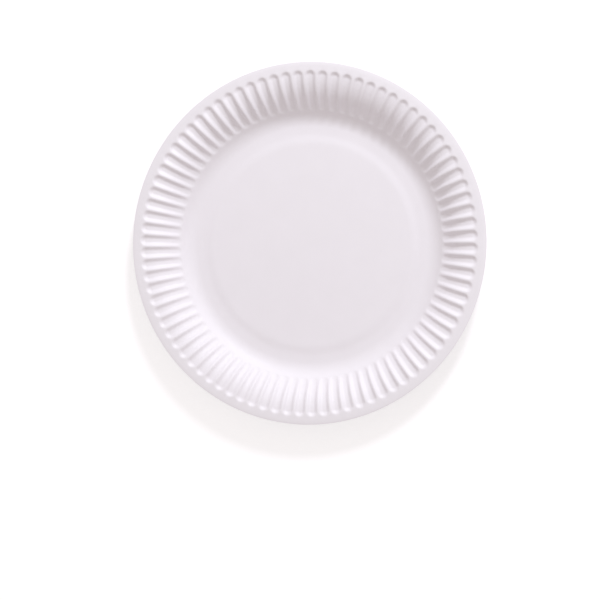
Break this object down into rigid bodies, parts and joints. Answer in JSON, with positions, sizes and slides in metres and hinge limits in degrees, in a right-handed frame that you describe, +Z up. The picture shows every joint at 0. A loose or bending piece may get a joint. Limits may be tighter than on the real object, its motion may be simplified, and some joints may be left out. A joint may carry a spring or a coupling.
{
  "type": "paper plate",
  "caption": "Round disposable plate pressed from one sheet of paperboard, with a fluted rim, a sloping wall and a flat centre.",
  "frame": {"origin": "centre of the foot ring, on the face that the plate rests on", "axes": "+Z up along the plate's axis; +X is 2 degrees before the middle of a flute"},
  "size_m": [0.23, 0.23, 0.0178],
  "materials": {
    "paperboard": "matte"
  },
  "bodies": {
    "root": {"paper_plate": "paperboard"}
  },
  "joints": []
}
